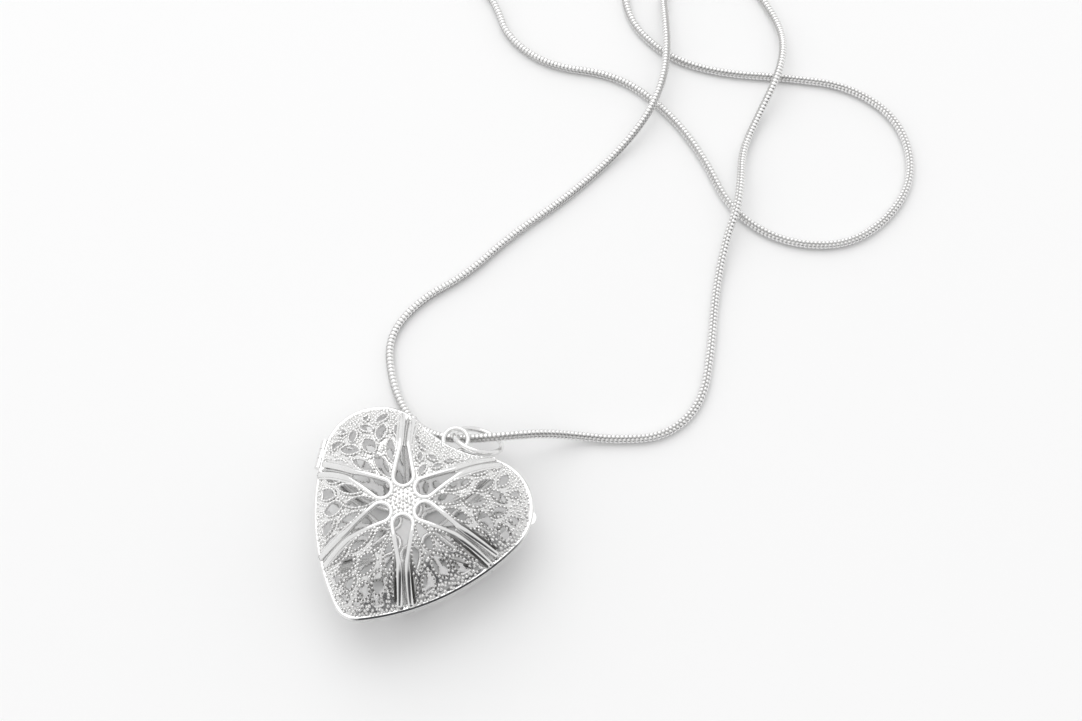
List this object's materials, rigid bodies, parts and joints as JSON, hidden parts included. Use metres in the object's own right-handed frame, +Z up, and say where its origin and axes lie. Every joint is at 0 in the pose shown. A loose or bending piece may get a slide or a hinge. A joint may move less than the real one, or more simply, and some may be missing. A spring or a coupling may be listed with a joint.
{
  "type": "heart locket necklace",
  "caption": "Puffed openwork heart locket, hinged, with bail, jump ring and a fine snake chain closed by a lobster clasp.",
  "frame": {"origin": "on the surface the locket lies on, under the middle of the box round the locket, its bail and its jump ring", "axes": "+Z up, out of the locket's front; +Y from the heart's point towards its bail; +X across it, away from the hinge"},
  "size_m": [0.0827, 0.1221, 0.0124],
  "materials": {
    "silver_bright": "polished silver",
    "silver_filigree": "silver wire and granules, bright on top and greyer in the hollows",
    "silver_chain": "polished silver links",
    "spring_steel": "plain spring steel"
  },
  "bodies": {
    "back_half": {"rear_rim": "silver_bright", "rear_star": "silver_bright", "rear_rosette": "silver_filigree", "rear_panel_1": "silver_filigree", "rear_panel_2": "silver_filigree", "rear_panel_3": "silver_filigree", "rear_panel_4": "silver_filigree", "rear_panel_5": "silver_filigree", "rear_panel_6": "silver_filigree", "rear_knuckles": "silver_bright", "hinge_pin": "silver_bright", "catch_keeper": "silver_bright", "bail_ring": "silver_bright", "chain": "silver_chain", "end_cap_1": "silver_bright", "end_cap_2": "silver_bright"},
    "front_half": {"front_rim": "silver_bright", "front_star": "silver_bright", "front_rosette": "silver_filigree", "front_panel_1": "silver_filigree", "front_panel_2": "silver_filigree", "front_panel_3": "silver_filigree", "front_panel_4": "silver_filigree", "front_panel_5": "silver_filigree", "front_panel_6": "silver_filigree", "front_knuckle": "silver_bright", "catch_tongue": "silver_bright", "thumb_tab": "silver_bright"},
    "jump_ring": {"jump_ring": "silver_bright"},
    "tag_ring": {"tag_ring": "silver_bright"},
    "clasp_ring": {"clasp_ring": "silver_bright"},
    "clasp": {"clasp_body": "silver_bright", "clasp_pin": "silver_bright", "clasp_spring": "spring_steel"},
    "clasp_lever": {"clasp_lever": "silver_bright"}
  },
  "joints": [
    {"name": "lid_hinge", "type": "hinge", "parent": "back_half", "child": "front_half", "pos_m": [-0.01358, 0.00102, 0.0062], "axis": [0.309, -0.9511, 0], "range_deg": [0, 165]},
    {"name": "jump_ring_swing", "type": "hinge", "parent": "back_half", "child": "jump_ring", "pos_m": [0.00225, 0.01256, 0.00456], "axis": [0.8879, 0.367, -0.2775], "range_deg": [-3, 3]},
    {"name": "tag_ring_swing", "type": "hinge", "parent": "back_half", "child": "tag_ring", "pos_m": [-0.02208, 0.10364, 0.0013], "axis": [0, 0, 1], "range_deg": [-2, 2]},
    {"name": "clasp_ring_swing", "type": "hinge", "parent": "back_half", "child": "clasp_ring", "pos_m": [-0.03788, 0.09635, 0.0013], "axis": [0, 0, 1], "range_deg": [-0.75, 0.75]},
    {"name": "clasp_swing", "type": "hinge", "parent": "clasp_ring", "child": "clasp", "pos_m": [-0.03407, 0.09811, 0.0015], "axis": [0, 0, 1], "range_deg": [-0.75, 0.75]},
    {"name": "lever_pivot", "type": "hinge", "parent": "clasp", "child": "clasp_lever", "pos_m": [-0.0303, 0.10128, 0.0015], "axis": [0, 0, -1], "range_deg": [0, 8], "stiffness_Nm_per_rad": 0.002, "springref_deg": -11.46}
  ]
}
